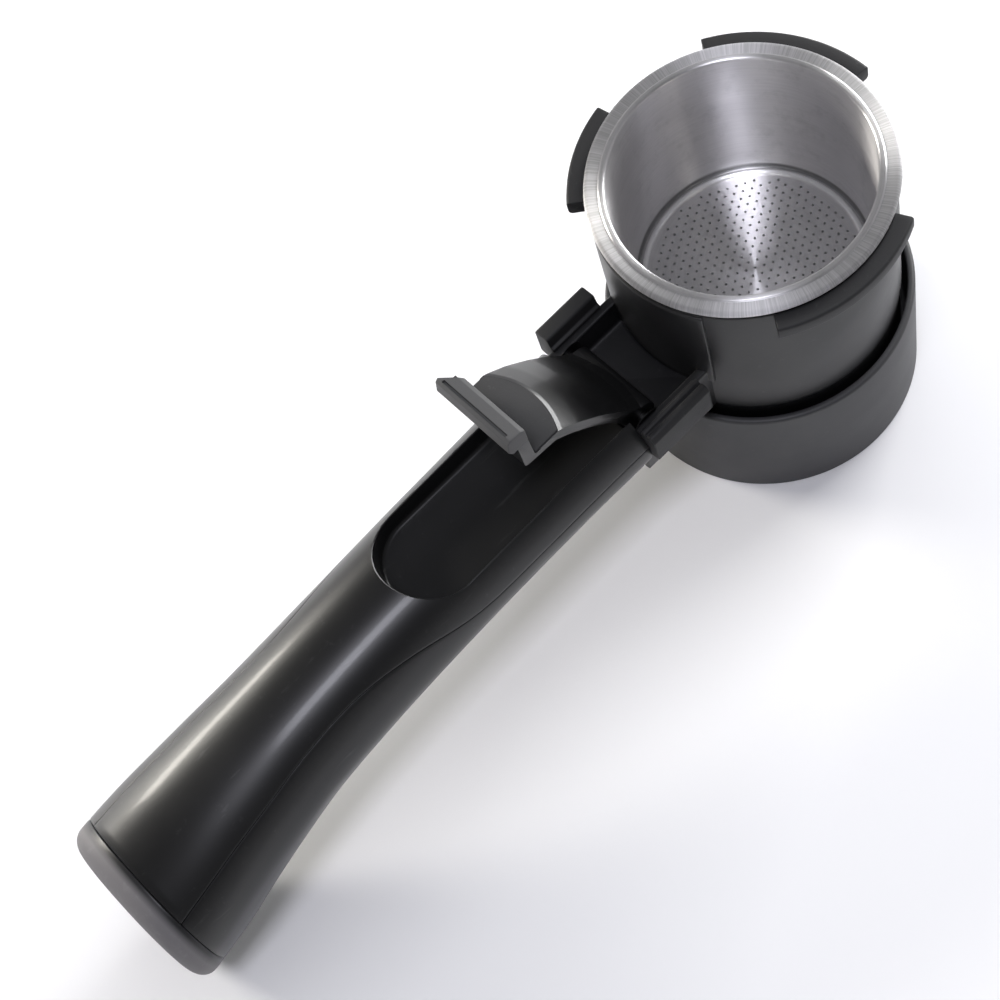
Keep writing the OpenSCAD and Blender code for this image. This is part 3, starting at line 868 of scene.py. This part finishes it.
def makeCover():
    h = handle
    cover = makeShell("handleCover", (0, 1), (180, -1), 48)

    def core(u, v):
        return handlePoint(h["start"] + 0.3 + 70 * v, 360 * u, 0.35)

    # a basin under the recess, trimmed to the inside of the handle
    basin = stadiumTool("basin", [(h["basinWall"], h["recessFloor"] - 2), (h["basinWall"], 60)])
    inner = shapedGrid("core", 72, 24, core)
    addModifier(basin, 'BOOLEAN', operation='INTERSECT', object=inner, solver='EXACT')
    bpy.data.objects.remove(inner)
    weld(cover, basin)
    rim = h["recessRim"]
    levels = []
    for step in range(5):  # rounded foot of the recess wall
        turn = math.radians(90 * step / 4)
        levels.append((math.sin(turn) - 1, h["recessFloor"] + 1 - math.cos(turn)))
    for step in range(5):  # rounded rim, following the skin
        turn = math.radians(66 * step / 4)
        levels.append((rim * (1 - math.cos(turn)), rim * (math.sin(turn) - 1), True))
    levels += [(rim * 1.5, rim * 0.6, True), (rim * 1.5, 64)]
    cut(cover, stadiumTool("recess", levels))
    fit(cover, "holder", "handle_black", handleBlack, "handle_upper")


def makeLowerShell():
    h = handle
    lower = makeShell("handleLower", (180, -1), (360, 1), 72)
    screws = h["coverScrews"] + h["tangScrews"]
    drills = [rod("counterbore", h["counterbore"], (0, -distance, -5), (0, -distance, seat), 40)
              for distance, seat in screws]
    for distance, seat in screws:
        foot = sectionAt(distance)[3] + 1.2
        weld(lower, rod("screwWell", h["screwWell"], (0, -distance, foot), (0, -distance, seat + 2.2), 40))
    cut(lower, *drills)
    fit(lower, "holder", "handle_black", handleBlack, "handle_lower")


def makeButtCap():
    h = handle
    radius = h["capRound"]
    flat = h["end"] - radius
    # distance, inset from the skin, and share of the way out from the middle
    seam = h["seam"]
    profile = [(seam + h["gap"], 0.45, 1), (seam + h["gap"] + 0.02, 0.25, 1), (seam + 0.3, 0.06, 1),
               (seam + 0.6, 0, 1), (flat, 0, 1)]
    for step in range(1, 10):
        turn = math.radians(10 * step)
        profile.append((flat + radius * math.sin(turn), radius * (1 - math.cos(turn)), 1))
    profile += [(h["end"], radius, share) for share in (0.85, 0.7, 0.5, 0.3, 0.12, 0)]

    def place(u, v):
        distance, inset, share = profile[round(v * (len(profile) - 1))]
        spot = handlePoint(min(distance, h["end"]), 360 * u, inset)
        middle = Vector((0, -distance, 0.55 * sectionAt(distance)[1]))
        return middle + (spot - middle) * share

    cap = shapedGrid("buttCap", 96, len(profile) - 1, place)
    fit(cap, "holder", "cap_black", capGrey, "butt_cap")


makeCover()
makeLowerShell()
makeButtCap()
print("handle made")


# the CAD's own small parts, with their finishes

smallParts = {
    sheetSteel: ["diffuser_disc"],
    zincSteel: ["skirt_screws", "outlet_screw", "outlet_washer", "tang_screws", "cover_screws"],
    blackSteel: ["lever_pin", "pin_washers"],
    brassInsert: ["tang_inserts"],
    sealRed: ["outlet_gasket", "basket_seal"],
    bowlBlack: ["outlet_spout"],
}
for finish, names in smallParts.items():
    for name in names:
        part = nodes[name]
        part.data.materials.clear()
        part.data.materials.append(finish)
print("small parts finished")
